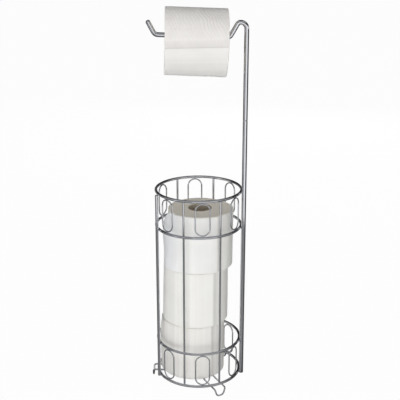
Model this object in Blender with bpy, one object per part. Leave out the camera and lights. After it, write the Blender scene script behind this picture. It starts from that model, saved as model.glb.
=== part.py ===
# Free-standing toilet paper stand: a chromed wire basket for spare rolls, with a tall
# pole whose hooked arm holds the roll in use.
# Metres, +Z up. The origin is on the floor, on the basket's axis. The arm runs towards -X.

import math

import bmesh
import bpy
from mathutils import Matrix, Vector

# Clearances
GAP = 0.0003  # between pieces that touch
ROLL_CLEARANCE = 0.0121  # from a centred spare roll to the thin uprights

# Wires and rods, all by their diameter
RING_WIRE = 0.0050
UPRIGHT_WIRE = 0.0036
POST_WIRE = 0.0056
LOOP_WIRE = 0.0025
FOOT_WIRE = 0.0030
POLE_ROD = 0.0082

# Basket
BASE_RING_HEIGHT = 0.0190  # floor to the centre of the lowest ring
BASKET_HEIGHT = 0.3545  # lowest ring to highest, centre to centre
BAND_HEIGHT = 0.0655  # the two rings of one band, centre to centre
LOOP_WIDTH = 0.0255  # across the centres of a loop's two legs
PATTERN_TURN = math.radians(9.3)  # from -Y to the front loop
LOOP_ANGLES = (0, 51.5, 124.5, 180, -124.5, -51.5)  # degrees from the front loop
UPRIGHT_ANGLES = (-26.6, 26.6, 152, -152)
POLE_ANGLE = 68.3
POST_ANGLE = -69.3

# Feet: three hairpins of one wire each, under the lowest ring
FOOT_TURN = 31  # degrees from -Y to the first foot
FOOT_OVERHANG = 0.0100  # from the ring's centre line out to the leg's
FOOT_SPREAD = 0.0210  # between the two wires of a hairpin
FOOT_BEND = 0.0040
TOE_WIDTH = 0.0120  # between the corners of the toe, before they are rounded
TOE_BEND = 0.0075
FOOT_FLAT = 0.0004  # worn off the toe where it stands
CENTRE_RING_RADIUS = 0.0165

# Pole and arm, as runs and bends of one rod
LOWER_POLE_LENGTH = 0.4840
UPPER_POLE_LENGTH = 0.1543
HOOK_RADIUS = 0.0100  # from the pole to the hook's peak
HOOK_BACK_RADIUS = 0.0065  # from the peak over to the slope
HOOK_SLOPE = math.radians(60)
HOOK_FALL = 0.0201
HOOK_FOOT_RADIUS = 0.0070
ARM_RISE = math.radians(1.5)  # the arm climbs this much towards its tip
ARM_SPARE = 0.0116  # straight arm beyond the roll's length
TIP_RADIUS = 0.0090
TIP_SLOPE = math.radians(61.6)
TIP_RUN = 0.0215
END_CHAMFER = 0.0012
STUD_DIAMETER = 0.0045
STUD_LENGTH = 0.0240
STUD_CHAMFER = 0.0006

# Rolls
SPARE_LENGTH = 0.1060
SPARE_DIAMETER = 0.1150
SPARE_BORE = 0.0400
HANGING_LENGTH = 0.1040
HANGING_DIAMETER = 0.1130
HANGING_BORE = 0.0340
CORE_WALL = 0.0011
ROLL_EDGE = 0.0018
LEAN_SHARES = ((-0.66, 0.74), (-0.45, 0.85), (0.13, 0.98))  # of the free play, lowest roll first

# How finely the round shapes are faceted
RING_STEPS = 48
LOOP_END_STEPS = 6
ROLL_STEPS = 48
CORE_STEPS = 40
ROD_SIDES = 12
WIRE_SIDES = 8
LOOP_SIDES = 6
BEND_STEP = math.radians(15)

# Places that follow from the sizes above
WIRE_ROOM = UPRIGHT_WIRE + GAP + RING_WIRE / 2
RING_RADIUS = SPARE_DIAMETER / 2 + ROLL_CLEARANCE + WIRE_ROOM
UPRIGHT_RADIUS = RING_RADIUS - RING_WIRE / 2 - GAP - UPRIGHT_WIRE / 2
POLE_RADIUS = RING_RADIUS + RING_WIRE / 2 + GAP + POLE_ROD / 2
POST_RADIUS = RING_RADIUS + RING_WIRE / 2 + GAP + POST_WIRE / 2
TOP_RING_HEIGHT = BASE_RING_HEIGHT + BASKET_HEIGHT
FOOT_HEIGHT = BASE_RING_HEIGHT - RING_WIRE / 2 - GAP - FOOT_WIRE / 2
CENTRE_RING_HEIGHT = FOOT_HEIGHT - FOOT_WIRE - GAP
JOINT_HEIGHT = BASE_RING_HEIGHT + LOWER_POLE_LENGTH
SOCKET_RADIUS = STUD_DIAMETER / 2 + GAP
SOCKET_DEPTH = STUD_LENGTH / 2 + GAP
ARM_RUN = HANGING_LENGTH + ARM_SPARE


def around(radius, angle, height=0.0):
    """A point at an angle from -Y, counted towards +X."""
    return Vector((radius * math.sin(angle), -radius * math.cos(angle), height))


def pattern(degrees):
    return PATTERN_TURN + math.radians(degrees)


# Materials
def finish(name, colour, roughness, metallic=0.0):
    material = bpy.data.materials.new(name)
    material.use_nodes = True
    shader = material.node_tree.nodes["Principled BSDF"]
    shader.inputs["Base Color"].default_value = (*colour, 1.0)
    shader.inputs["Roughness"].default_value = roughness
    shader.inputs["Metallic"].default_value = metallic
    material.diffuse_color = (*colour, 1.0)
    return material


# Building tools
def place(name, data, material, location=(0, 0, 0), turn=0.0):
    if not data.materials:
        data.materials.append(material)
    piece = bpy.data.objects.new(name, data)
    piece.location = location
    piece.rotation_euler = (0, 0, turn)
    bpy.context.scene.collection.objects.link(piece)
    return piece


def wire(name, points, diameter, sides, closed=False):
    """A round wire along a line of points, with flat ends or closed on itself."""
    curve = bpy.data.curves.new(name, "CURVE")
    curve.dimensions = "3D"
    curve.fill_mode = "FULL"
    curve.bevel_depth = diameter / 2
    curve.bevel_resolution = sides // 2 - 2
    curve.use_fill_caps = not closed
    spline = curve.splines.new("POLY")
    spline.points.add(len(points) - 1)
    for point, place_at in zip(spline.points, points):
        point.co = (*place_at, 1.0)
    spline.use_cyclic_u = closed
    return curve


def turned(name, profile, steps, closed):
    """A solid of revolution about Z. The profile is a list of radius and height."""
    mesh = bpy.data.meshes.new(name)
    bm = bmesh.new()
    corners = [bm.verts.new((radius, 0, height)) for radius, height in profile]
    edges = [bm.edges.new(pair) for pair in zip(corners, corners[1:])]
    if closed:
        edges.append(bm.edges.new((corners[-1], corners[0])))
    bmesh.ops.spin(bm, geom=corners + edges, axis=(0, 0, 1), cent=(0, 0, 0),
                   steps=steps, angle=2 * math.pi, use_merge=True)
    bmesh.ops.remove_doubles(bm, verts=bm.verts, dist=GAP / 10)
    bmesh.ops.recalc_face_normals(bm, faces=bm.faces)
    bm.to_mesh(mesh)
    bm.free()
    mesh.shade_smooth()
    mesh.set_sharp_from_angle(angle=math.radians(35))
    return mesh


def rounded(corners, radii):
    """Points along straight runs, with an arc of its own radius at each inner corner."""
    points = [corners[0]]
    for before, corner, after, radius in zip(corners, corners[1:], corners[2:], radii):
        back = (before - corner).normalized()
        onward = (after - corner).normalized()
        half = back.angle(onward) / 2
        room = min((before - corner).length, (after - corner).length) / 2
        reach = min(radius / math.tan(half), room)
        centre = corner + (back + onward).normalized() * (reach / math.cos(half))
        start = corner + back * reach - centre
        axis = onward.cross(back)
        turn = math.pi - 2 * half
        count = math.ceil(turn / BEND_STEP)
        for index in range(count + 1):
            points.append(centre + Matrix.Rotation(turn * index / count, 3, axis) @ start)
    return points + [corners[-1]]


def bent(start, heading, steps):
    """Points along a rod bent in its own plane, and the point where each step ends.

    A step is ("run", length) or ("bend", radius, angle); a positive bend turns left.
    """
    here = Vector(start)
    points = [here.copy()]
    ends = [here.copy()]
    for step in steps:
        if step[0] == "run":
            here = here + Vector((math.cos(heading), math.sin(heading))) * step[1]
            points.append(here)
        else:
            radius, angle = step[1], step[2]
            side = math.copysign(1, angle)
            centre = here + Vector((-math.sin(heading), math.cos(heading))) * radius * side
            count = max(2, math.ceil(abs(angle) / BEND_STEP))
            for index in range(1, count + 1):
                now = heading + angle * index / count
                here = centre + Vector((math.sin(now), -math.cos(now))) * radius * side
                points.append(here)
            heading = heading + angle
        ends.append(here.copy())
    return points, ends


def solid_from(curve):
    """The evaluated mesh of a curve, so that modifiers can cut it."""
    holder = bpy.data.objects.new(curve.name, curve)
    bpy.context.scene.collection.objects.link(holder)
    graph = bpy.context.evaluated_depsgraph_get()
    mesh = bpy.data.meshes.new_from_object(holder.evaluated_get(graph))
    bpy.data.objects.remove(holder)
    return mesh


# Rings
def ring_points(radius, height=0.0):
    angles = [2 * math.pi * index / RING_STEPS for index in range(RING_STEPS)]
    return [around(radius, angle, height) for angle in angles]


def build_rings(chrome):
    heights = {
        "top_ring": TOP_RING_HEIGHT,
        "upper_ring": TOP_RING_HEIGHT - BAND_HEIGHT,
        "lower_ring": BASE_RING_HEIGHT + BAND_HEIGHT,
        "base_ring": BASE_RING_HEIGHT,
    }
    shape = wire("ring", ring_points(RING_RADIUS), RING_WIRE, WIRE_SIDES, closed=True)
    for name, height in heights.items():
        place(name, shape, chrome, location=(0, 0, height))


# Uprights, post and the decorative loops
def straight(name, length, diameter, sides):
    return wire(name, [(0, 0, 0), (0, 0, length)], diameter, sides)


def build_uprights(chrome):
    names = ("upright_front_left", "upright_front_right", "upright_back_right", "upright_back_left")
    shape = straight("upright", BASKET_HEIGHT, UPRIGHT_WIRE, WIRE_SIDES)
    for name, degrees in zip(names, UPRIGHT_ANGLES):
        place(name, shape, chrome, around(UPRIGHT_RADIUS, pattern(degrees), BASE_RING_HEIGHT))
    post = straight("post", BASKET_HEIGHT, POST_WIRE, ROD_SIDES)
    place("side_post", post, chrome, around(POST_RADIUS, pattern(POST_ANGLE), BASE_RING_HEIGHT))


def loop_points():
    """A long loop with round ends, wrapped on the rings' cylinder and centred on its height."""
    arch = LOOP_WIDTH / 2
    leg = (BAND_HEIGHT - RING_WIRE - LOOP_WIRE) / 2 - GAP - arch
    outline = []
    for end in (1, -1):
        for index in range(LOOP_END_STEPS + 1):
            angle = math.pi * index / LOOP_END_STEPS
            outline.append((end * arch * math.cos(angle), end * (leg + arch * math.sin(angle))))
    return [around(RING_RADIUS, across / RING_RADIUS, height) for across, height in outline]


def build_loops(chrome):
    shape = wire("loop", loop_points(), LOOP_WIRE, LOOP_SIDES, closed=True)
    bands = {"top": TOP_RING_HEIGHT - BAND_HEIGHT / 2, "bottom": BASE_RING_HEIGHT + BAND_HEIGHT / 2}
    for band, height in bands.items():
        for number, degrees in enumerate(LOOP_ANGLES, 1):
            place(f"{band}_loop_{number}", shape, chrome, (0, 0, height), pattern(degrees))


# Feet
def foot_points():
    """A hairpin's line: out under the ring, down to the toe on the floor, and back in."""
    leg = RING_RADIUS + FOOT_OVERHANG
    side = FOOT_SPREAD / 2
    inner = math.sqrt(CENTRE_RING_RADIUS ** 2 - side ** 2) - FOOT_WIRE / 2
    low = FOOT_WIRE / 2 - FOOT_FLAT
    half = [(side, inner, FOOT_HEIGHT), (side, leg, FOOT_HEIGHT), (TOE_WIDTH / 2, leg, low)]
    outline = half + [(-across, out, height) for across, out, height in reversed(half)]
    corners = [Vector((across, -out, height)) for across, out, height in outline]
    return rounded(corners, (FOOT_BEND, TOE_BEND, TOE_BEND, FOOT_BEND))


def build_feet(chrome):
    shape = solid_from(wire("foot", foot_points(), FOOT_WIRE, WIRE_SIDES))
    bm = bmesh.new()
    bm.from_mesh(shape)
    cut = bmesh.ops.bisect_plane(bm, geom=bm.verts[:] + bm.edges[:] + bm.faces[:],
                                 plane_co=(0, 0, 0), plane_no=(0, 0, -1), clear_outer=True)
    rim = [part for part in cut["geom_cut"] if isinstance(part, bmesh.types.BMEdge)]
    bmesh.ops.holes_fill(bm, edges=rim, sides=0)
    bm.to_mesh(shape)
    bm.free()
    names = ("front_foot", "back_foot", "left_foot")
    for index, name in enumerate(names):
        place(name, shape, chrome, turn=math.radians(FOOT_TURN + 360 / len(names) * index))
    hub = ring_points(CENTRE_RING_RADIUS)[::2]
    place("centre_ring", wire("hub", hub, FOOT_WIRE, WIRE_SIDES, closed=True), chrome,
          (0, 0, CENTRE_RING_HEIGHT))


# Pole and arm
POLE_PLACE = around(POLE_RADIUS, pattern(POLE_ANGLE))


def arm_bends():
    return [
        ("run", UPPER_POLE_LENGTH - GAP / 2),
        ("bend", HOOK_RADIUS, math.pi / 2),
        ("bend", HOOK_BACK_RADIUS, HOOK_SLOPE),
        ("run", HOOK_FALL),
        ("bend", HOOK_FOOT_RADIUS, -(HOOK_SLOPE + ARM_RISE)),
        ("run", ARM_RUN),
        ("bend", TIP_RADIUS, -(TIP_SLOPE - ARM_RISE)),
        ("run", TIP_RUN),
    ]


def build_lower_pole(chrome):
    radius = POLE_ROD / 2
    top = LOWER_POLE_LENGTH - GAP / 2
    floor = top - SOCKET_DEPTH
    profile = [
        (0, 0), (radius - END_CHAMFER, 0), (radius, END_CHAMFER), (radius, top),
        (SOCKET_RADIUS, top), (SOCKET_RADIUS, floor), (0, floor),
    ]
    at = POLE_PLACE + Vector((0, 0, BASE_RING_HEIGHT))
    place("lower_pole", turned("lower_pole", profile, ROD_SIDES, closed=False), chrome, at)


def build_stud(steel):
    radius = STUD_DIAMETER / 2
    half = STUD_LENGTH / 2
    profile = [
        (0, -half), (radius - STUD_CHAMFER, -half), (radius, STUD_CHAMFER - half),
        (radius, half - STUD_CHAMFER), (radius - STUD_CHAMFER, half), (0, half),
    ]
    at = POLE_PLACE + Vector((0, 0, JOINT_HEIGHT))
    place("pole_stud", turned("stud", profile, ROD_SIDES, closed=False), steel, at)


def build_upper_pole(chrome):
    """The rod above the screw joint, with its socket cut from below, and where its steps end."""
    flat, ends = bent((0, GAP / 2), math.pi / 2, arm_bends())
    points = [(across, 0, up) for across, up in flat]
    shape = solid_from(wire("upper_pole", points, POLE_ROD, ROD_SIDES))
    at = POLE_PLACE + Vector((0, 0, JOINT_HEIGHT))
    pole = place("upper_pole", shape, chrome, at)
    bore = turned("socket", [(0, -SOCKET_DEPTH), (SOCKET_RADIUS, -SOCKET_DEPTH),
                             (SOCKET_RADIUS, SOCKET_DEPTH), (0, SOCKET_DEPTH)],
                  ROD_SIDES, closed=False)
    cutter = place("socket_cutter", bore, chrome, at + Vector((0, 0, GAP / 2)))
    cutter.hide_render = True
    cutter.display_type = "WIRE"
    cut = pole.modifiers.new("socket", "BOOLEAN")
    cut.operation = "DIFFERENCE"
    cut.object = cutter
    return [at + Vector((across, 0, up)) for across, up in ends]


# Rolls
def paper_roll(name, length, diameter, bore):
    """Wound paper about Z, from 0 up, with a bore that fits the core's outside."""
    inner = bore / 2 + CORE_WALL + GAP
    outer = diameter / 2
    profile = [
        (inner, 0), (outer - ROLL_EDGE, 0), (outer, ROLL_EDGE),
        (outer, length - ROLL_EDGE), (outer - ROLL_EDGE, length), (inner, length),
    ]
    return turned(name, profile, ROLL_STEPS, closed=True)


def core_tube(name, length, bore):
    inner, outer = bore / 2, bore / 2 + CORE_WALL
    profile = [(inner, 0), (outer, 0), (outer, length), (inner, length)]
    return turned(name, profile, CORE_STEPS, closed=True)


def build_spare_rolls(paper, card):
    play = UPRIGHT_RADIUS - UPRIGHT_WIRE / 2 - GAP - SPARE_DIAMETER / 2
    body = paper_roll("spare_paper", SPARE_LENGTH, SPARE_DIAMETER, SPARE_BORE)
    tube = core_tube("spare_core", SPARE_LENGTH, SPARE_BORE)
    names = ("bottom", "middle", "top")
    height = FOOT_HEIGHT + FOOT_WIRE / 2 + GAP
    for name, (across, deep) in zip(names, LEAN_SHARES):
        at = (play * across, play * deep, height)
        place(f"{name}_roll_paper", body, paper, at)
        place(f"{name}_roll_core", tube, card, at)
        height += SPARE_LENGTH + GAP


def build_hanging_roll(paper, card, arm_start, arm_end):
    """The roll in use: its core hangs on the arm, so its axis is below the arm's."""
    along = (arm_end - arm_start).normalized()
    above = Vector((0, 1, 0)).cross(along)
    drop = HANGING_BORE / 2 - POLE_ROD / 2 - GAP
    at = arm_start + along * (GAP + HANGING_LENGTH / 2) - above * drop
    shapes = {
        "paper": (paper_roll("hanging_paper", HANGING_LENGTH, HANGING_DIAMETER, HANGING_BORE), paper),
        "core": (core_tube("hanging_core", HANGING_LENGTH, HANGING_BORE), card),
    }
    for part, (mesh, material) in shapes.items():
        mesh.transform(Matrix.Translation((0, 0, -HANGING_LENGTH / 2)))
        piece = place(f"hanging_roll_{part}", mesh, material, at)
        piece.rotation_mode = "QUATERNION"
        piece.rotation_quaternion = along.to_track_quat("Z", "Y")


def main():
    for leftover in list(bpy.data.objects):
        bpy.data.objects.remove(leftover)
    chrome = finish("chrome", (0.62, 0.63, 0.66), roughness=0.16, metallic=1.0)
    steel = finish("zinc_steel", (0.55, 0.55, 0.53), roughness=0.4, metallic=0.9)
    paper = finish("tissue", (0.88, 0.87, 0.84), roughness=0.9)
    card = finish("cardboard", (0.50, 0.42, 0.33), roughness=0.9)
    build_rings(chrome)
    build_uprights(chrome)
    build_loops(chrome)
    build_feet(chrome)
    build_lower_pole(chrome)
    build_stud(steel)
    ends = build_upper_pole(chrome)
    build_spare_rolls(paper, card)
    build_hanging_roll(paper, card, *ends[5:7])


main()
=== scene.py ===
import math

import bpy
from mathutils import Matrix, Vector, noise


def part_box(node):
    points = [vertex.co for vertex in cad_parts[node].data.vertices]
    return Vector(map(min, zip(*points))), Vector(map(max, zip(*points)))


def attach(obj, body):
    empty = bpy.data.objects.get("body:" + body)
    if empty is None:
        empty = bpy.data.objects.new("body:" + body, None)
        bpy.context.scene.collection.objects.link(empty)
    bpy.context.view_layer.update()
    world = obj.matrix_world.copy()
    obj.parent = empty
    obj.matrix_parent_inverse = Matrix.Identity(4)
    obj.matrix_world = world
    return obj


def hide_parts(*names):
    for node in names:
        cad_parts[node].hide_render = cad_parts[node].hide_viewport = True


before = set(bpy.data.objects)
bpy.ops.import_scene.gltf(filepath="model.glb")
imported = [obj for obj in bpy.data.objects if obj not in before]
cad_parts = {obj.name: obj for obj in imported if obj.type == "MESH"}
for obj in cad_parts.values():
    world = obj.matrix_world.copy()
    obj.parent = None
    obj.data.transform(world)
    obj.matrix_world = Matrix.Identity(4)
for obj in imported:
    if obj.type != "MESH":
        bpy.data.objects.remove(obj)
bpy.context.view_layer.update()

# Wire thicknesses and the main sizes, in metres, as in the CAD
GAP = 0.0003  # between pieces that touch
RING_WIRE = 0.0050
UPRIGHT_WIRE = 0.0036
POST_WIRE = 0.0056
LOOP_WIRE = 0.0025
FOOT_WIRE = 0.0030
POLE_ROD = 0.0082
RING_RADIUS = 0.0760
LOOP_WIDTH = 0.0255
LOOP_HEIGHT = 0.0574
UPPER_POLE = 0.1543
HOOK_RADIUS = 0.0100
HOOK_BACK_RADIUS = 0.0065
HOOK_SLOPE = math.radians(60)
HOOK_FALL = 0.0201
HOOK_FOOT_RADIUS = 0.0070
ARM_RISE = math.radians(1.5)
ARM_RUN = 0.1156
TIP_RADIUS = 0.0090
TIP_SLOPE = math.radians(61.6)
TIP_RUN = 0.0215
LEG_SIDE = 0.0105
FOOT_HEIGHT = 0.0147
FOOT_OVERHANG = 0.0100
FOOT_BEND = 0.0040
TOE_WIDTH = 0.0120
TOE_BEND = 0.0075
FOOT_FLAT = 0.0004
CENTRE_RING_RADIUS = 0.0165
CORE_WALL = 0.0011
SPARE_LENGTH = 0.1060
SPARE_RADIUS = 0.0575
SPARE_BORE = 0.0400
HANGING_LENGTH = 0.1040
HANGING_RADIUS = 0.0565
HANGING_BORE = 0.0340
HANGING_CENTRE = Vector((-0.00357, -0.0178, 0.63192))
HANGING_AXIS = Vector((0.99966, 0, -0.02618))

RINGS = ("top_ring", "upper_ring", "lower_ring", "base_ring")
UPRIGHTS = ("upright_front_left", "upright_front_right", "upright_back_left",
            "upright_back_right")
FEET = ("front_foot", "back_foot", "left_foot")
LOOPS = range(1, 7)

# How finely the wires are drawn
WIRE_SIDES = 20
RING_STEPS = 180
BEND_STEP = 6  # degrees
END_RING = 0.0022  # from the end of a long straight length to the ring that holds its shading
WIRE_JOIN = 0.00002  # the distance within which the last ring of a closed wire meets its first
LATHE_JOIN = 0.00001

# How far the cut ends are rounded: the rods' in metres, the others' as a share of the thickness
ROD_ROUNDING = 0.0007
TIP_ROUNDING = 0.0034
UPRIGHT_ROUNDING = 0.22
FOOT_ROUNDING = 0.2

# The angle in degrees above which an edge is shaded sharp
WIRE_SHADING = 42
PAPER_SHADING = 50
ALL_SMOOTH = 180

# The butt weld of each ring: its direction in radians from the front, and its swelling
RING_SEAMS = {"top_ring": 2.2, "upper_ring": 2.6, "lower_ring": 2.4, "base_ring": 2.9}
CENTRE_RING_SEAM = 1.2
SEAM_SWELLING = 0.05

# The nuggets of the spot welds: their radius, and how they are squashed
CROSSING_NUGGET = 0.0010, (1, 1, 1.15)
LOOP_NUGGET = 0.0008, (1.2, 1.2, 0.8)
FOOT_NUGGET = 0.0009, (1, 1, 0.8)
CENTRE_NUGGET = 0.0008, (1.1, 1.1, 0.8)


# Modelling
def nothing_selected():
    bpy.ops.object.select_all(action="DESELECT")


def chosen(piece):
    """Selects a piece alone and makes it the active one."""
    nothing_selected()
    piece.select_set(True)
    bpy.context.view_layer.objects.active = piece


def named(piece, name):
    piece.name = name
    piece.data.name = name
    return piece


def settled(piece):
    """Puts the piece's own place into its mesh."""
    chosen(piece)
    bpy.ops.object.transform_apply(location=True, rotation=True, scale=True)
    return piece


def editing(piece):
    chosen(piece)
    bpy.ops.object.mode_set(mode="EDIT")
    bpy.ops.mesh.select_mode(type="VERT")
    bpy.ops.mesh.select_all(action="SELECT")


def done_editing():
    bpy.ops.mesh.select_all(action="SELECT")
    bpy.ops.mesh.normals_make_consistent(inside=False)
    bpy.ops.object.mode_set(mode="OBJECT")


def smoothed(piece, degrees):
    chosen(piece)
    bpy.ops.object.shade_smooth_by_angle(angle=math.radians(degrees))
    return piece


def select_faces(piece, wanted):
    """Selects faces in object mode, by a test of each face."""
    mesh = piece.data
    for part in (mesh.vertices, mesh.edges, mesh.polygons):
        part.foreach_set("select", [False] * len(part))
    for face in mesh.polygons:
        if wanted(face):
            face.select = True


def copied(piece, name):
    twin = piece.copy()
    twin.data = piece.data.copy()
    bpy.context.scene.collection.objects.link(twin)
    return named(twin, name)


def dressed(piece, body, slot, *finishes):
    """Gives a new piece its finishes, in the order of its faces' material indices."""
    for finish in finishes:
        piece.data.materials.append(finish)
    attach(piece, body)


def middle(node):
    low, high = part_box(node)
    return (low + high) / 2


def direction(node):
    """The angle of a node round the stand's axis, from the front, in radians."""
    points = [vertex.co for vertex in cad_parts[node].data.vertices]
    place = sum(points, Vector()) / len(points)
    return math.atan2(place.x, -place.y)


def around(radius, angle, height=0.0):
    return Vector((radius * math.sin(angle), -radius * math.cos(angle), height))


# Wire work
def straight_parts(length):
    """A long straight length is drawn in three, so that a ring near each end keeps the shading
    of its wall apart from the bend or the rounded edge there."""
    if length > 4 * END_RING:
        return [END_RING, length - 2 * END_RING, END_RING]
    return [length] if length > 0 else []


def drawn_wire(name, thickness, start, heading, steps, closed=False):
    """A round wire drawn out from its first end: each step is a straight length, then a bend
    of a radius on to a new heading."""
    nothing_selected()
    bpy.ops.mesh.primitive_circle_add(
        vertices=WIRE_SIDES, radius=thickness / 2, fill_type="NOTHING" if closed else "NGON",
        location=start, rotation=heading.to_track_quat("Z", "Y").to_euler())
    wire = settled(named(bpy.context.object, name))
    editing(wire)
    place = start.copy()
    for length, radius, onward in steps:
        for part in straight_parts(length):
            bpy.ops.mesh.extrude_region_move(TRANSFORM_OT_translate={"value": heading * part})
            place += heading * part
        if onward is None:
            continue
        turn = heading.angle(onward)
        side = (onward - heading * heading.dot(onward)).normalized()
        centre = place + side * radius
        bpy.ops.mesh.spin(steps=max(2, round(math.degrees(turn) / BEND_STEP)), angle=turn,
                          center=centre, axis=side.cross(heading))
        place = centre - side * radius * math.cos(turn) + heading * radius * math.sin(turn)
        heading = onward
    if closed:
        bpy.ops.mesh.select_all(action="SELECT")
        bpy.ops.mesh.remove_doubles(threshold=WIRE_JOIN)
    done_editing()
    return wire


def rounded_ends(wire, size, segments=4, at=lambda place: True):
    """Dresses the cut ends of a wire, or the one at a place, with a rounded edge. The cut ends
    are its only faces with more than four corners."""
    select_faces(wire, lambda face: len(face.vertices) > 4 and at(face.center))
    bpy.ops.object.mode_set(mode="EDIT")
    bpy.ops.mesh.select_mode(type="FACE")
    bpy.ops.mesh.bevel(offset=size, offset_type="OFFSET", segments=segments, affect="EDGES")
    done_editing()


def through_corners(corners, bends):
    """The steps of a wire that passes round corners with the given bend radii."""
    steps = []
    place, heading = corners[0], (corners[1] - corners[0]).normalized()
    for corner, following, bend in zip(corners[1:], corners[2:], bends):
        onward = (following - corner).normalized()
        tangent = bend * math.tan(heading.angle(onward) / 2)
        steps.append(((corner - heading * tangent - place).length, bend, onward))
        place, heading = corner + onward * tangent, onward
    steps.append(((corners[-1] - place).length, 0, None))
    return steps


def in_chrome(wire, node, degrees=WIRE_SHADING):
    """Smooths and plates a finished wire of the stand, which takes the place of a CAD node."""
    smoothed(wire, degrees)
    dressed(wire, "stand", "chrome", chrome)
    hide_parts(node)


def make_ring(node, major, thickness, seam):
    """One ring of drawn wire, butt welded: the joint is a slight, ground-down swelling."""
    centre = middle(node)
    nothing_selected()
    bpy.ops.mesh.primitive_torus_add(
        major_radius=major, minor_radius=thickness / 2, major_segments=RING_STEPS,
        minor_segments=WIRE_SIDES, location=centre)
    ring = settled(named(bpy.context.object, node + "_wire"))
    weld = around(major, seam, centre.z)
    level = Vector((0, 0, centre.z))
    for vertex in ring.data.vertices:
        away = (vertex.co - weld).length
        if away < thickness:
            outward = vertex.co - level
            heart = Vector((outward.x, outward.y, 0)).normalized() * major + level
            swelling = SEAM_SWELLING * math.cos(away / thickness * math.pi / 2)
            vertex.co = heart + (vertex.co - heart) * (1 + swelling)
    in_chrome(ring, node, ALL_SMOOTH)


def make_rings():
    for node in RINGS:
        make_ring(node, RING_RADIUS, RING_WIRE, RING_SEAMS[node])
    make_ring("centre_ring", CENTRE_RING_RADIUS, FOOT_WIRE, CENTRE_RING_SEAM)


def make_upright(node, thickness):
    """A straight length of wire with its cut ends rounded over."""
    low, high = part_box(node)
    centre = (low + high) / 2
    start = Vector((centre.x, centre.y, low.z))
    wire = drawn_wire(node + "_wire", thickness, start, Vector((0, 0, 1)),
                      [(high.z - low.z, 0, None)])
    rounded_ends(wire, thickness * UPRIGHT_ROUNDING)
    in_chrome(wire, node)


def make_loops():
    """The flat hoop is bent once and rolled to the rings' curve, then set in its twelve places."""
    arch = LOOP_WIDTH / 2
    leg = LOOP_HEIGHT - 2 * arch
    up, left = Vector((0, 0, 1)), Vector((-1, 0, 0))
    steps = [(leg, arch, left), (0, arch, -up), (leg, arch, -left), (0, arch, up)]
    hoop = drawn_wire("hoop", LOOP_WIRE, Vector((arch, 0, -leg / 2)), up, steps, closed=True)
    rolled = hoop.modifiers.new("rolled", "SIMPLE_DEFORM")
    rolled.deform_method = "BEND"
    rolled.deform_axis = "Z"
    rolled.angle = (LOOP_WIDTH + LOOP_WIRE) / RING_RADIUS
    chosen(hoop)
    bpy.ops.object.modifier_apply(modifier="rolled")
    for band in ("top", "bottom"):
        for count in LOOPS:
            node = f"{band}_loop_{count}"
            piece = copied(hoop, node + "_wire")
            piece.data.transform(Matrix.Rotation(direction(node), 4, "Z")
                                 @ Matrix.Translation((0, -RING_RADIUS, middle(node).z)))
            in_chrome(piece, node, ALL_SMOOTH)
    bpy.data.objects.remove(hoop)


def make_foot(node):
    """A hairpin of wire: two legs out from the centre ring, and a toe bent down to the floor,
    with a small flat on which it stands."""
    angle = direction(node)
    out = around(1, angle)
    side = Vector((math.cos(angle), math.sin(angle), 0))
    inner = math.sqrt(CENTRE_RING_RADIUS ** 2 - LEG_SIDE ** 2) - FOOT_WIRE / 2
    leg = RING_RADIUS + FOOT_OVERHANG
    floor = FOOT_WIRE / 2 - FOOT_FLAT
    half = [(LEG_SIDE, inner, FOOT_HEIGHT), (LEG_SIDE, leg, FOOT_HEIGHT),
            (TOE_WIDTH / 2, leg, floor)]
    hairpin = half + [(-across, far, height) for across, far, height in reversed(half)]
    corners = [side * across + out * far + Vector((0, 0, height))
               for across, far, height in hairpin]
    heading = (corners[1] - corners[0]).normalized()
    wire = drawn_wire(node + "_wire", FOOT_WIRE, corners[0], heading,
                      through_corners(corners, (FOOT_BEND, TOE_BEND, TOE_BEND, FOOT_BEND)))
    rounded_ends(wire, FOOT_WIRE * FOOT_ROUNDING)
    editing(wire)
    bpy.ops.mesh.bisect(plane_co=(0, 0, 0), plane_no=(0, 0, 1), clear_inner=True, use_fill=True)
    done_editing()
    in_chrome(wire, node)


def make_pole():
    """The lower rod, and the upper rod that is bent over into the hook, the arm and its tip."""
    low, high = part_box("lower_pole")
    centre = (low + high) / 2
    foot = Vector((centre.x, centre.y, low.z))
    rod = drawn_wire("lower_pole_rod", POLE_ROD, foot, Vector((0, 0, 1)),
                     [(high.z - low.z, 0, None)])
    rounded_ends(rod, ROD_ROUNDING)
    in_chrome(rod, "lower_pole")

    def turned(angle):
        return Vector((math.cos(angle), 0, math.sin(angle)))

    up = math.pi / 2
    fall = math.pi + HOOK_SLOPE
    arm = math.pi - ARM_RISE
    tip = math.pi - TIP_SLOPE
    start = Vector((centre.x, centre.y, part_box("upper_pole")[0].z))
    steps = [(UPPER_POLE - GAP / 2, HOOK_RADIUS, turned(math.pi)),
             (0, HOOK_BACK_RADIUS, turned(fall)),
             (HOOK_FALL, HOOK_FOOT_RADIUS, turned(arm)),
             (ARM_RUN, TIP_RADIUS, turned(tip)),
             (TIP_RUN - END_RING, 0, None),
             (END_RING, 0, None)]
    rod = drawn_wire("upper_pole_rod", POLE_ROD, start, turned(up), steps)
    rounded_ends(rod, ROD_ROUNDING, at=lambda place: place.x > 0)
    rounded_ends(rod, TIP_ROUNDING, 6, at=lambda place: place.x < 0)
    in_chrome(rod, "upper_pole")


def nugget(place, size, stretch):
    """One weld nugget, a squashed ball between two wires."""
    nothing_selected()
    bpy.ops.mesh.primitive_uv_sphere_add(segments=12, ring_count=8, radius=size, location=place)
    piece = bpy.context.object
    piece.scale = stretch
    return settled(piece)


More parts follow.
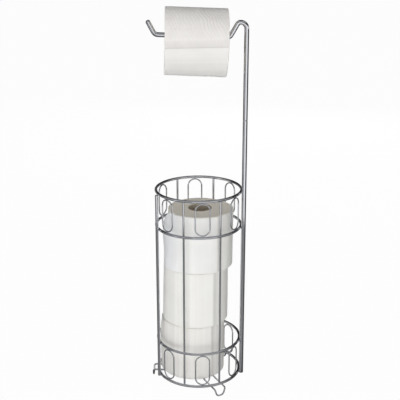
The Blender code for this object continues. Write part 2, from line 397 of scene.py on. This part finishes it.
def make_welds():
    """The small nuggets of the spot welds where the wires cross or touch."""
    top, upper, lower, base = (middle(ring).z for ring in RINGS)
    inside = RING_RADIUS - RING_WIRE / 2
    outside = RING_RADIUS + RING_WIRE / 2
    nuggets = []
    for node in UPRIGHTS + ("side_post", "lower_pole"):
        radius = inside if node in UPRIGHTS else outside
        for height in (top, upper, lower, base):
            nuggets.append(nugget(around(radius, direction(node), height), *CROSSING_NUGGET))
    for band, over, under in (("top", top, upper), ("bottom", lower, base)):
        for count in LOOPS:
            angle = direction(f"{band}_loop_{count}")
            for height in (over - RING_WIRE / 2, under + RING_WIRE / 2):
                nuggets.append(nugget(around(RING_RADIUS, angle, height), *LOOP_NUGGET))
    for node in FEET:
        angle = direction(node)
        side = Vector((math.cos(angle), math.sin(angle), 0))
        for hand in (-LEG_SIDE, LEG_SIDE):
            for radius, height, shape in (
                    (RING_RADIUS, base - RING_WIRE / 2, FOOT_NUGGET),
                    (CENTRE_RING_RADIUS, middle("centre_ring").z + FOOT_WIRE / 2, CENTRE_NUGGET)):
                out = math.sqrt(radius ** 2 - hand ** 2)
                nuggets.append(nugget(around(out, angle, height) + side * hand, *shape))
    nothing_selected()
    for piece in nuggets:
        piece.select_set(True)
    bpy.context.view_layer.objects.active = nuggets[0]
    bpy.ops.object.join()
    welds = named(bpy.context.object, "weld_nuggets")
    smoothed(welds, ALL_SMOOTH)
    dressed(welds, "stand", "chrome", chrome)


# Paper and card
ROLL_COLUMNS = 168
END_ROWS = 20
WALL_ROWS = 16
BORE_ROWS = 5
RIM_STEP = 15  # degrees
ROLL_EDGE = 0.0013  # of its rounded rims
EDGE_WIDTH = math.radians(0.35)  # of the step down from the last sheet's edge
TAIL_STEP = 0.0005  # which the wall gains in radius over one turn
TAIL_FADE = 0.008  # along the wrap, over which the lift of the sheet's edge fades
SPARE_LIFT = 0.0011  # of the last sheet's edge above the wall
HANGING_LIFT = 0.0017
SOFTNESS = 0.0003  # the wall's unevenness, and its lumps round the roll and per metre along it
LUMPS_ROUND = 1.6
LUMPS_ALONG = 16
END_DEPTH = 0.0004  # of the ridges of the layers at the ends
END_RIDGES = 420  # per metre outwards
END_DISH = 0.0003  # how far the ends sink towards the bore
END_FACING = 0.7  # along the axis, at least, of the faces that belong to the ends
WALL, END, SMOOTH = range(3)  # a wound roll's materials
SEAMS = {"bottom": 36, "middle": 35, "top": 35}  # each last sheet's edge, in degrees from the front
# How far each spare roll swells all round, how much more to one side at its lower and upper end,
# and that side's direction in degrees from the front
SWELLS = {"bottom": (-0.0014, 0.0050, 0.0050, -90), "middle": (0.0022, 0.0036, 0.0008, -90),
          "top": (0.0010, 0.0024, 0.0030, 90)}
# The cosine of the angle from the front at which the swelling starts, and its rise to the whole
SWELL_START, SWELL_RISE = -0.75, 0.6
HANGING_OVER = 0.0036  # how much fuller the roll in use is on top
HANGING_UNDER = 0.0019, 0.0020  # how much slimmer it is below, at its left and at its right end
HANGING_SLOPE = 0.106  # of the ends of the roll in use, which is pushed a little out of square
HANGING_SKEW = 0.0012  # how far its outer turns below the edge are wound past its left end
HANGING_TWIST = -0.100  # in radians from end to end, so that the sheet's edge lies a little askew
SMOOTH_TURN = math.radians(150)  # below that edge, over which its paper has no embossing
CORE_COLUMNS = 72
CORE_ROWS = 8
CORE_RIM = 0.0003
CORE_DENT = 0.00005
TUBE_RECESS = 0.0008  # of its tube in its ends, which leaves room for the rod's bend as it turns
LOOSE_THICKNESS = 0.0004
LOOSE_GRID = 96, 28
LOOSE_END = -178  # where a loose sheet lies on its roll again, in degrees from the front
LOOSE_MARGINS = 0.0004, 0.0014  # from its roll's lower and upper end
TUCK = 0.94, 0.0012  # the share of its length from which it dips into the roll, and how far
CREASING = 0.0008
CREASED_FROM = 0.002  # how far a sheet stands off where its creases are in full
# Where a sheet stands off its roll and how widely, in radians from the front, and how far
TOP_BELLY = -1.75, 0.52, 0.0104
TOP_FLARE = -1.0, 0.85, 0.0082
TOP_SAG = 0.034  # of its upper edge
BOTTOM_BELLY = -1.66, 0.40, 0.0040


def lathe(name, profile, columns):
    """A closed ring drawn round Z from its profile of radius and height."""
    nothing_selected()
    radius, height = profile[0]
    bpy.ops.mesh.primitive_circle_add(vertices=columns, radius=radius, fill_type="NOTHING",
                                      location=(0, 0, height), rotation=(0, 0, -math.pi / 2))
    piece = settled(named(bpy.context.object, name))
    editing(piece)
    for onward, level in profile[1:] + profile[:1]:
        bpy.ops.mesh.extrude_region_move(TRANSFORM_OT_translate={"value": (0, 0, level - height)})
        if onward != radius:
            bpy.ops.transform.resize(value=(onward / radius, onward / radius, 1),
                                     center_override=(0, 0, level))
        radius, height = onward, level
    bpy.ops.mesh.select_all(action="SELECT")
    bpy.ops.mesh.remove_doubles(threshold=LATHE_JOIN)
    done_editing()
    return piece


def roll_profile(length, radius, bore):
    """Half the section of a wound roll: lower end, rounded rim, wall, rim, upper end and bore."""
    inner = radius - ROLL_EDGE
    face = [bore + (radius - ROLL_EDGE - bore) * row / END_ROWS for row in range(END_ROWS + 1)]
    rim = [(inner + ROLL_EDGE * math.sin(turn), ROLL_EDGE - ROLL_EDGE * math.cos(turn))
           for turn in (math.radians(part * RIM_STEP) for part in range(1, 90 // RIM_STEP))]
    wall = [(radius, ROLL_EDGE + (length - 2 * ROLL_EDGE) * row / WALL_ROWS)
            for row in range(WALL_ROWS + 1)]
    lower = [(across, 0.0) for across in face] + rim
    upper = [(across, length - height) for across, height in reversed(lower)]
    inside = [(bore, length * row / BORE_ROWS) for row in range(BORE_ROWS - 1, 0, -1)]
    return lower + wall + upper + inside


def eased(value):
    value = min(1.0, max(0.0, value))
    return value * value * (3 - 2 * value)


def hump(value, centre, spread, height=1.0):
    """A soft rise to a height at the centre that fades on both sides."""
    return height * math.exp(-((value - centre) / spread) ** 2)


def lies_flat(face):
    return abs(face.normal.z) > END_FACING


def fullness(name, angle, share):
    """How far a softly wound spare roll swells at an angle from the front and a share of its
    height. At the back it rests against the wires and keeps its size."""
    full, lower, upper, towards = SWELLS[name]
    lean = lower + (upper - lower) * share
    swell = full + lean * max(0.0, math.cos(angle - math.radians(towards))) ** 2
    return swell * eased((math.cos(angle) - SWELL_START) / SWELL_RISE)


def hanging_fullness(angle, share):
    """The same for the roll in use, at an angle down from the front and a share of its length
    from the left. It is full at the top and slimmer below."""
    left, right = HANGING_UNDER
    under = left + (right - left) * share
    return HANGING_OVER * max(0.0, -math.sin(angle)) ** 2 - under * max(0.0, math.sin(angle)) ** 2


def lay_wrap(roll, radius):
    """Lays the pattern round a roll: back from the last sheet's edge, and up the wall, or out
    from the middle on its ends."""
    wrap = roll.data.uv_layers.new(name="wrap")
    for face in roll.data.polygons:
        corners = []
        for loop in face.loop_indices:
            place = roll.data.vertices[roll.data.loops[loop].vertex_index].co
            corners.append((loop, place, math.atan2(place.y, place.x) % math.tau))
        across_edge = max(turn for _, _, turn in corners) > math.pi * 1.5
        flat = lies_flat(face)
        for loop, place, turn in corners:
            if across_edge and turn < math.pi / 2:
                turn += math.tau
            wrap.data[loop].uv = ((math.tau - turn) * radius,
                                  math.hypot(place.x, place.y) if flat else place.z)


def wound_paper(name, length, radius, bore, seed, tail_lift, swell, skew=0.0, slope=0.0):
    """A wound roll about Z: the last sheet's edge lies at the X axis and lifts a little, the
    layers show at the ends as fine uneven ridges, and the wall is slightly soft. Below the
    edge the outer turns can be wound askew, past the lower end, and the whole roll can be pushed
    out of square, so that its ends lie at a slope."""
    roll = lathe(name, roll_profile(length, radius, bore), ROLL_COLUMNS)
    width = math.tau / ROLL_COLUMNS
    for vertex in roll.data.vertices:
        place = vertex.co
        height = place.z
        reach = math.hypot(place.x, place.y)
        column = round(math.atan2(place.y, place.x) % math.tau / width) % ROLL_COLUMNS
        angle = EDGE_WIDTH if column == 1 else column * width
        unwound = 0.0 if column == 0 else math.tau - angle
        outer = max(0.0, (reach - bore) / (radius - bore))
        lift = tail_lift * (hump(unwound * radius, 0, TAIL_FADE) - 0.4)
        reach += outer ** 6 * (lift - TAIL_STEP * unwound / math.tau)
        reach += outer * swell(angle, height / length)
        spot = Vector((math.cos(angle) * LUMPS_ROUND, math.sin(angle) * LUMPS_ROUND,
                       height * LUMPS_ALONG + seed))
        reach += outer ** 3 * SOFTNESS * (noise.noise(spot) - 0.6)
        if height < END_DEPTH or height > length - END_DEPTH:
            ridge = Vector((reach * END_RIDGES + seed,
                            math.cos(angle) * 0.5, math.sin(angle) * 0.5))
            sink = END_DEPTH * (0.55 + noise.noise(ridge)) * (1 - outer ** 4)
            sink += END_DISH * (1 - outer)
            height += sink if height < length / 2 else -sink
        askew = skew * outer ** 8 * max(0.0, math.sin(min(angle, math.pi))) ** 2
        height += slope * place.x - askew * (1 - height / length)
        vertex.co = (reach * math.cos(angle), reach * math.sin(angle), height)
    lay_wrap(roll, radius)
    for face in roll.data.polygons:
        face.material_index = END if lies_flat(face) else WALL
    return smoothed(roll, PAPER_SHADING)


def make_core(name, length, bore, seed, slope=0.0):
    """A cardboard tube with softened rims, a little out of round. Its ends can be cut at a
    slope."""
    outer = bore + CORE_WALL
    rows = [length * row / CORE_ROWS for row in range(1, CORE_ROWS)]
    profile = [(bore, CORE_RIM), (bore + CORE_RIM, 0), (outer - CORE_RIM, 0), (outer, CORE_RIM)]
    profile += [(outer, row) for row in rows]
    profile += [(outer, length - CORE_RIM), (outer - CORE_RIM, length)]
    profile += [(bore + CORE_RIM, length), (bore, length - CORE_RIM)]
    profile += [(bore, row) for row in reversed(rows)]
    tube = lathe(name, profile, CORE_COLUMNS)
    for vertex in tube.data.vertices:
        angle = math.atan2(vertex.co.y, vertex.co.x)
        near = 1 - CORE_DENT / bore * (1 + math.cos(2 * angle + seed))
        vertex.co.z += slope * vertex.co.x
        vertex.co.x *= near
        vertex.co.y *= near
    return smoothed(tube, PAPER_SHADING)


def make_spare_rolls():
    for count, name in enumerate(("bottom", "middle", "top")):
        body = name + "_roll"
        low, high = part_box(body + "_paper")
        centre = (low + high) / 2
        seam = math.radians(SEAMS[name])
        standing = (Matrix.Translation((centre.x, centre.y, low.z))
                    @ Matrix.Rotation(seam - math.pi / 2, 4, "Z"))
        bore = SPARE_BORE / 2
        paper = wound_paper(body + "_wound_paper", SPARE_LENGTH, SPARE_RADIUS,
                            bore + CORE_WALL + GAP, seed=3.7 * (count + 1), tail_lift=SPARE_LIFT,
                            swell=lambda angle, share: fullness(name, angle + seam, share))
        paper.data.transform(standing)
        wall = tissue_streaked if name == "bottom" else tissue
        dressed(paper, body, "tissue", wall, tissue_ends)
        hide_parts(body + "_paper")
        core = make_core(body + "_card_tube", SPARE_LENGTH, bore, seed=count)
        core.data.transform(standing)
        dressed(core, body, "cardboard", cardboard)
        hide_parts(body + "_core")


def top_looseness(angle, share):
    """How far the top roll's last sheet stands off it, and how far its upper edge sags, for an
    angle from the front and a share of the height from the bottom."""
    belly = hump(angle, *TOP_BELLY) * (0.58 + 0.42 * hump(share, 0.8, 0.50))
    flare = hump(angle, *TOP_FLARE) * (1 - share)
    sag = eased((-angle - 1.0) / 0.75) * (1 - 0.85 * eased((-angle - 2.3) / 0.75))
    return math.hypot(belly, flare), sag * TOP_SAG


def bottom_looseness(angle, share):
    """The same for the bottom roll, where the sheet only bellies out along its left side."""
    tall = (0.75 + 0.25 * math.sin(math.pi * share)) * (1 - 0.8 * eased((share - 0.8) / 0.2))
    return hump(angle, *BOTTOM_BELLY) * tall, 0.0


def make_loose_sheet(name, looseness, finish):
    """A roll's last turn that has come loose at the left, from its edge round to the back."""
    low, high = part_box(name + "_roll_paper")
    centre = (low + high) / 2
    start, end = math.radians(SEAMS[name]), math.radians(LOOSE_END)
    tuck_start, tuck_depth = TUCK
    bottom, top = low.z + LOOSE_MARGINS[0], high.z - LOOSE_MARGINS[1]
    nothing_selected()
    bpy.ops.mesh.primitive_grid_add(x_subdivisions=LOOSE_GRID[0], y_subdivisions=LOOSE_GRID[1],
                                    size=1, location=(0, 0, 0))
    sheet = named(bpy.context.object, name + "_roll_loose_sheet")
    wrap = sheet.data.uv_layers.active or sheet.data.uv_layers.new(name="wrap")
    wrap.name = "wrap"
    for vertex in sheet.data.vertices:
        along, share = vertex.co.x + 0.5, vertex.co.y + 0.5
        angle = start + (end - start) * along
        off, sag = looseness(angle, share)
        tuck = max(0.0, along - tuck_start) / (1 - tuck_start) * tuck_depth
        reach = SPARE_RADIUS + fullness(name, angle, share) + off - tuck
        crease = noise.noise(Vector((angle * 3.1, share * 2.2, 7.0))) * min(1, off / CREASED_FROM)
        place = around(reach + CREASING * crease, angle)
        vertex.co = (centre.x + place.x, centre.y + place.y,
                     bottom + (top - sag - bottom) * share)
    turn = SPARE_RADIUS * (start - end)
    for loop in wrap.data:
        loop.uv = (loop.uv[0] * turn, loop.uv[1] * SPARE_LENGTH)
    thick = sheet.modifiers.new("thickness", "SOLIDIFY")
    thick.thickness = LOOSE_THICKNESS
    thick.offset = 0
    editing(sheet)
    done_editing()
    bpy.ops.object.modifier_apply(modifier="thickness")
    smoothed(sheet, PAPER_SHADING)
    dressed(sheet, name + "_roll", "tissue", finish)


def make_hanging_roll():
    """The roll in use: its last sheet comes over the top and ends across the front."""
    down = HANGING_AXIS.cross(Vector((0, -1, 0)))
    lying = Matrix((Vector((0, -1, 0)), down, HANGING_AXIS)).transposed().to_4x4()
    lying = (Matrix.Translation(HANGING_CENTRE) @ lying
             @ Matrix.Translation((0, 0, -HANGING_LENGTH / 2)))
    bore = HANGING_BORE / 2
    paper = wound_paper("hanging_roll_wound_paper", HANGING_LENGTH, HANGING_RADIUS,
                        bore + CORE_WALL + GAP, seed=21.0, tail_lift=HANGING_LIFT,
                        swell=hanging_fullness, skew=HANGING_SKEW, slope=HANGING_SLOPE)
    for face in paper.data.polygons:
        turn = math.atan2(face.center.y, face.center.x)
        if face.material_index == WALL and 0 < turn < SMOOTH_TURN:
            face.material_index = SMOOTH
    for vertex in paper.data.vertices:
        turn = HANGING_TWIST * (vertex.co.z / HANGING_LENGTH - 0.5)
        vertex.co = Matrix.Rotation(turn, 3, "Z") @ vertex.co
    paper.data.transform(lying)
    dressed(paper, "hanging_roll", "tissue", tissue_embossed, tissue_ends, tissue_smooth)
    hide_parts("hanging_roll_paper")
    core = make_core("hanging_roll_card_tube", HANGING_LENGTH - 2 * TUBE_RECESS, bore, seed=5,
                     slope=HANGING_SLOPE)
    core.data.transform(lying @ Matrix.Translation((0, 0, TUBE_RECESS)))
    dressed(core, "hanging_roll", "cardboard", cardboard)
    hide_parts("hanging_roll_core")


# Finishes
WHITE = (1, 1, 1, 1)
WRAP_UNIT = 0.4  # metres of the wrap to the whole of its colour ramps


def grey(level):
    return (level, level, level, 1)


# Shades along the wrap: the painted shadow that a spare roll's lifted last edge casts on the
# layer beside it, painted shade along the last sheet's edge of the roll in use, and a lighter,
# bluish tint along part of the top roll's loose sheet
BLUISH = (1.02, 1.04, 1.075, 1)
# painted shadow on the layer just past each spare roll's last sheet's edge
PAINTED_SEAM_SHADOW = ((0.874, grey(1)), (0.886, grey(0.86)), (0.894, grey(0.82)), (0.902, grey(0.92)))
# painted shade: darker towards the edge of the last sheet of the roll in use, over 14 mm
PAINTED_EDGE_SHADE = ((0.0, grey(0.78)), (0.0022, grey(0.80)), (0.0050, grey(0.90)), (0.035, grey(1)))
# a lighter, bluish tint over a stretch of the top roll's loose sheet
LOOSE_SHEET_TINT = ((0.15, grey(1)), (0.22, BLUISH), (0.34, BLUISH), (0.45, grey(1)))


class Nodes:
    """A node tree that is built up from nothing."""

    def __init__(self, tree):
        self.tree = tree
        tree.nodes.clear()

    def add(self, kind, inputs=None, **settings):
        node = self.tree.nodes.new(kind)
        for key, value in settings.items():
            setattr(node, key, value)
        for key, value in (inputs or {}).items():
            if isinstance(value, bpy.types.NodeSocket):
                self.tree.links.new(value, node.inputs[key])
            else:
                node.inputs[key].default_value = value
        return node

    def worked(self, operation, *values):
        return self.add("ShaderNodeMath", dict(enumerate(values)), operation=operation).outputs[0]

    def times(self, first, second):
        return self.worked("MULTIPLY", first, second)

    def plus(self, first, second):
        return self.worked("ADD", first, second)

    def shared(self, first, share, second):
        """Two values mixed, with a share of the first."""
        return self.plus(self.times(first, share), self.times(second, 1 - share))

    def tinted(self, first, second):
        """One colour multiplied by another."""
        return self.add("ShaderNodeMix", {0: 1.0, 6: first, 7: second}, data_type="RGBA",
                        blend_type="MULTIPLY").outputs[2]

    def place(self):
        return self.add("ShaderNodeTexCoord").outputs["Object"]

    def parts(self, vector):
        return self.add("ShaderNodeSeparateXYZ", {0: vector}).outputs

    def grain(self, place, scale, detail=2.0, roughness=0.5):
        return self.add("ShaderNodeTexNoise", {"Vector": place, "Scale": scale, "Detail": detail,
                                               "Roughness": roughness}).outputs["Fac"]

    def lines(self, distance, frequency, detail):
        """Uneven lines across a distance, with a frequency per metre."""
        line = self.times(distance, frequency)
        return self.add("ShaderNodeTexNoise", {"W": line, "Scale": 1.0, "Detail": detail},
                        noise_dimensions="1D").outputs["Fac"]

    def ramp(self, value, *stops):
        node = self.add("ShaderNodeValToRGB", {"Fac": value})
        band = node.color_ramp
        band.elements[0].position, band.elements[0].color = stops[0]
        band.elements[1].position, band.elements[1].color = stops[-1]
        for position, color in stops[1:-1]:
            band.elements.new(position).color = color
        return node.outputs["Color"]

    def relief(self, height, strength, distance):
        return self.add("ShaderNodeBump", {"Strength": strength, "Distance": distance,
                                           "Height": height}).outputs["Normal"]


class Finish(Nodes):
    """A material that is built up node by node."""

    def __init__(self, name):
        self.material = bpy.data.materials.new(name)
        self.material.use_nodes = True
        super().__init__(self.material.node_tree)

    def metal(self, tint, dull, **more):
        return self.done("ShaderNodeBsdfPrincipled",
                         {"Base Color": tint, "Metallic": 1.0, "Roughness": dull, **more})

    def matt(self, tint, relief, dull, specular, **more):
        return self.done("ShaderNodeBsdfPrincipled",
                         {"Base Color": tint, "Roughness": dull, "Specular IOR Level": specular,
                          "Normal": relief, **more})

    def done(self, kind, inputs):
        surface = self.add(kind, inputs).outputs[0]
        self.add("ShaderNodeOutputMaterial", {"Surface": surface})
        return self.material


def make_chrome():
    """Bright plate over drawn wire: a faint ripple, and a breath of dull film."""
    plate = Finish("chrome")
    place = plate.place()
    film = plate.grain(place, 38.0, detail=3.0)
    dull = plate.ramp(film, (0.3, grey(0.05)), (0.75, grey(0.11)))
    tint = plate.ramp(film, (0.25, (0.77, 0.78, 0.815, 1)), (0.8, (0.71, 0.72, 0.76, 1)))
    ripple = plate.relief(plate.grain(place, 160.0), strength=0.05, distance=0.0002)
    return plate.metal(tint, dull, Normal=ripple)


def make_tissue(name, dim, bright, embossing, streaking, shades=None):
    """Soft creped paper that follows the wrap: streaks along the roll, fine fibres, and wavy
    embossed strokes that cross each other, as deep and as uneven as the sheet needs. The shades
    are stops along the wrap, in WRAP_UNITs, by which its colour is multiplied: painted shadow and
    shade beside a sheet's edge, and a tint."""
    paper = Finish(name)
    place = paper.place()
    wrap = paper.add("ShaderNodeUVMap", uv_map="wrap").outputs["UV"]
    parts = paper.parts(wrap)
    streaks = paper.lines(parts["X"], 110.0, detail=3.0)
    clouds = paper.grain(place, 26.0)
    fibres = paper.grain(place, 1400.0, detail=3.0, roughness=0.7)
    tone = paper.ramp(paper.shared(streaks, streaking, clouds), (0.3, dim), (0.7, bright))
    # painted shadow and shade at a sheet's edge, and a tint, multiplied into the colour
    if shades:
        along = paper.times(parts["X"], 1 / WRAP_UNIT)
        tone = paper.tinted(tone, paper.ramp(along, *shades))
    sway = paper.times(paper.grain(wrap, 48.0, detail=1.0), 14.0)

    def strokes(across, onward, pitch):
        line = paper.plus(paper.times(parts["X"], across * math.tau / pitch),
                          paper.times(parts["Y"], onward * math.tau / pitch))
        return paper.worked("SINE", paper.plus(line, sway))

    lattice = paper.plus(strokes(across=0.42, onward=0.9, pitch=0.0050),
                         paper.times(strokes(across=-0.7, onward=0.7, pitch=0.0062), 0.35))
    surface = paper.plus(paper.times(lattice, embossing), paper.times(fibres, 0.25))
    surface = paper.plus(surface, paper.times(streaks, 0.8))
    relief = paper.relief(surface, strength=0.7, distance=0.0005)
    return paper.matt(tone, relief, dull=0.92, specular=0.25, **{"Sheen Weight": 0.08})


def make_tissue_ends():
    """The roll's ends, where the edges of the layers show as fine uneven rings."""
    paper = Finish("tissue_ends")
    parts = paper.parts(paper.add("ShaderNodeUVMap", uv_map="wrap").outputs["UV"])
    rings = paper.shared(paper.lines(parts["Y"], 2200.0, detail=1.0), 0.5,
                         paper.lines(parts["Y"], 330.0, detail=2.0))
    tone = paper.ramp(rings, (0.32, (0.78, 0.735, 0.645, 1)), (0.66, (0.88, 0.84, 0.75, 1)))
    fluff = paper.grain(paper.place(), 900.0)
    surface = paper.plus(rings, paper.times(fluff, 0.4))
    relief = paper.relief(surface, strength=0.7, distance=0.0005)
    return paper.matt(tone, relief, dull=0.95, specular=0.2)


def make_cardboard():
    """Grey-brown board: specks of pulp and soft mottling."""
    board = Finish("cardboard")
    place = board.place()
    pulp = board.grain(place, 700.0, detail=4.0, roughness=0.75)
    mixed = board.shared(pulp, 0.55, board.grain(place, 60.0))
    tone = board.ramp(mixed, (0.3, (0.31, 0.26, 0.20, 1)), (0.7, (0.44, 0.38, 0.30, 1)))
    relief = board.relief(pulp, strength=0.5, distance=0.0003)
    return board.matt(tone, relief, dull=0.9, specular=0.2)


def make_zinc():
    """Plain plated steel of the joint's stud."""
    zinc = Finish("zinc_steel")
    grain = zinc.grain(zinc.place(), 500.0, detail=3.0)
    return zinc.metal(zinc.ramp(grain, (0.3, grey(0.46)), (0.7, grey(0.60))),
                      zinc.ramp(grain, (0.3, grey(0.32)), (0.7, grey(0.48))))


# The studio. The cards lie on the floor, where the chrome alone mirrors them: painted dark
# reflections, which glow with their grey and light nothing else. Each is a part of a ring, with
# its two directions in degrees from the front, its outer radius and its grey.
FLOOR_RADIUS = 80.0
FLOOR_GLOW = 0.97  # the share of its plain white, as seen by the camera and in the chrome
CARD_START = 0.02
CARD_HEIGHT = 0.001
CARDS = (("right_card", 54, 168, 10.0, 0.09),
         ("left_card", -168, -62, 10.0, 0.10),
         ("front_card", -52, -13, 10.0, 0.20),
         ("near_card", -13, 54, 0.95, 0.26),
         ("near_left_card", -62, -52, 0.95, 0.26))
# Each lamp's place, what it is turned to, its width and height, and its power in watts
LAMPS = (("front_softbox", (-0.12, -2.2, 0.55), (0, 0, 0.36), 1.5, 1.2, 19),
         ("upper_softbox", (0, -1.3, 2.2), (0, 0, 0.4), 1.2, 1.2, 10),
         ("left_softbox", (-2.0, -0.5, 0.5), (0, 0, 0.3), 1.0, 1.0, 5),
         ("low_fill", (-0.02, -0.80, 0.05), (0, 0, 0.04), 0.6, 0.1, 0.5),
         ("back_softbox", (0.2, 2.4, 0.9), (0, 0, 0.3), 1.6, 1.0, 20),
         ("right_softbox", (2.0, -0.7, 0.6), (0, 0, 0.4), 1.0, 1.0, 4.2))
# The sky's grey by the sine of its height, and what is left of it from the front to the back
SKY_HEIGHTS = ((0.0, 0.90), (0.16, 0.85), (0.27, 0.45), (0.35, 0.08), (0.66, 0.08), (0.74, 0.60),
               (0.88, 0.60), (0.95, 0.10), (1.0, 0.10))
SKY_DEPTHS = ((0.45, 1), (0.62, 0.15))
# The camera that was fitted to the photograph
CAMERA_PLACE = (0.0977, -1.3994, 0.8114)
CAMERA_ANGLE = math.radians(27.25)
CAMERA_DOWN = math.radians(18.11)
CAMERA_LEFT = math.radians(3.894)


def make_floor():
    nothing_selected()
    bpy.ops.mesh.primitive_circle_add(vertices=64, radius=FLOOR_RADIUS, fill_type="NGON",
                                      location=(0, 0, 0))
    floor = settled(named(bpy.context.object, "studio_floor"))
    paint = Finish("floor_paint")
    rays = paint.add("ShaderNodeLightPath").outputs
    seen = paint.worked("MAXIMUM", rays["Is Camera Ray"], rays["Is Glossy Ray"])
    seen = paint.worked("MAXIMUM", seen, rays["Is Transmission Ray"])
    tone = paint.ramp(paint.grain(paint.place(), 1.5), (0.3, grey(0.86)), (0.7, grey(0.88)))
    matt = paint.add("ShaderNodeBsdfDiffuse", {"Color": tone})
    bright = paint.add("ShaderNodeEmission", {"Color": WHITE, "Strength": 1.0})
    floor.data.materials.append(paint.done("ShaderNodeMixShader", {
        0: paint.times(seen, FLOOR_GLOW), 1: matt.outputs[0], 2: bright.outputs[0]}))


def make_card(name, start, end, far, level):
    nothing_selected()
    bpy.ops.mesh.primitive_circle_add(vertices=120, radius=CARD_START, fill_type="NOTHING",
                                      location=(0, 0, CARD_HEIGHT))
    card = settled(named(bpy.context.object, name))
    editing(card)
    bpy.ops.mesh.extrude_region_move()
    bpy.ops.transform.resize(value=(far / CARD_START, far / CARD_START, 1),
                             center_override=(0, 0, CARD_HEIGHT))
    bpy.ops.mesh.select_all(action="DESELECT")
    bpy.ops.object.mode_set(mode="OBJECT")

    def off_card(face):
        turn = math.degrees(math.atan2(face.center.x, -face.center.y))
        return not start < (turn if turn > start else turn + 360) < end

    select_faces(card, off_card)
    bpy.ops.object.mode_set(mode="EDIT")
    bpy.ops.mesh.delete(type="FACE")
    bpy.ops.object.mode_set(mode="OBJECT")
    # painted reflection: the card glows with its grey and is seen only in the chrome
    mirrored_glow = Finish(name)
    tone = mirrored_glow.ramp(mirrored_glow.grain(mirrored_glow.place(), 2.0), (0.3, grey(level * 0.9)),
                     (0.7, grey(level * 1.1)))
    card.data.materials.append(mirrored_glow.done("ShaderNodeEmission", {"Color": tone, "Strength": 1.0}))
    card.visible_camera = False
    card.visible_diffuse = False
    card.visible_shadow = False
    card.visible_transmission = False


def make_lamp(name, place, aim, width, height, power):
    light = bpy.data.lights.new(name, "AREA")
    light.shape = "RECTANGLE"
    light.size = width
    light.size_y = height
    light.energy = power
    lamp = bpy.data.objects.new(name, light)
    bpy.context.scene.collection.objects.link(lamp)
    lamp.location = place
    lamp.rotation_euler = (Vector(aim) - Vector(place)).to_track_quat("-Z", "Y").to_euler()
    lamp.visible_camera = False
    lamp.visible_glossy = False


def make_sky():
    """White for the camera, and for the rest banded in height and darker at the back."""
    world = bpy.data.worlds.new("studio")
    bpy.context.scene.world = world
    world.use_nodes = True
    sky = Nodes(world.node_tree)
    parts = sky.parts(sky.add("ShaderNodeTexCoord").outputs["Generated"])
    bands = sky.ramp(parts["Z"], *((height, grey(level)) for height, level in SKY_HEIGHTS))
    depth = sky.worked("MULTIPLY_ADD", parts["Y"], 0.5, 0.5)
    left = sky.ramp(depth, *((place, grey(level)) for place, level in SKY_DEPTHS))
    camera_ray = sky.add("ShaderNodeLightPath").outputs["Is Camera Ray"]
    seen = sky.add("ShaderNodeMix", {0: camera_ray, 6: sky.tinted(bands, left), 7: WHITE},
                   data_type="RGBA").outputs[2]
    shine = sky.add("ShaderNodeBackground", {"Color": seen}).outputs[0]
    sky.add("ShaderNodeOutputWorld", {"Surface": shine})


def make_camera():
    data = bpy.data.cameras.new("photo_camera")
    data.angle = CAMERA_ANGLE
    camera = bpy.data.objects.new("photo_camera", data)
    bpy.context.scene.collection.objects.link(camera)
    camera.location = CAMERA_PLACE
    camera.rotation_euler = (math.pi / 2 - CAMERA_DOWN, 0, CAMERA_LEFT)
    bpy.context.scene.camera = camera


chrome = make_chrome()
# painted shadow beside the spare rolls' last edges, painted shade at the hanging roll's edge
tissue = make_tissue("tissue", (0.83, 0.82, 0.785, 1), (0.90, 0.895, 0.865, 1),
                     embossing=0.06, streaking=0.6, shades=PAINTED_SEAM_SHADOW)
tissue_streaked = make_tissue("tissue_streaked", (0.80, 0.775, 0.735, 1), (0.91, 0.90, 0.87, 1),
                              embossing=0.06, streaking=0.8, shades=PAINTED_SEAM_SHADOW)
tissue_embossed = make_tissue("tissue_embossed", (0.785, 0.76, 0.735, 1), (0.87, 0.85, 0.825, 1),
                              embossing=0.45, streaking=0.4, shades=PAINTED_EDGE_SHADE)
tissue_smooth = make_tissue("tissue_smooth", (0.80, 0.79, 0.765, 1), (0.86, 0.85, 0.83, 1),
                            embossing=0.0, streaking=0.4)
tissue_loose = make_tissue("tissue_loose", (0.84, 0.835, 0.815, 1), (0.90, 0.895, 0.88, 1),
                           embossing=0.06, streaking=0.5, shades=LOOSE_SHEET_TINT)
tissue_ends = make_tissue_ends()
cardboard = make_cardboard()

make_rings()
for upright in UPRIGHTS:
    make_upright(upright, UPRIGHT_WIRE)
make_upright("side_post", POST_WIRE)
make_loops()
for foot in FEET:
    make_foot(foot)
make_pole()
make_welds()
make_spare_rolls()
make_loose_sheet("top", top_looseness, tissue_loose)
make_loose_sheet("bottom", bottom_looseness, tissue_streaked)
make_hanging_roll()

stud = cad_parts["pole_stud"]
stud.data.materials.clear()
stud.data.materials.append(make_zinc())

make_floor()
for card in CARDS:
    make_card(*card)
for lamp in LAMPS:
    make_lamp(*lamp)
make_sky()
make_camera()
bpy.context.scene.view_settings.view_transform = "Standard"
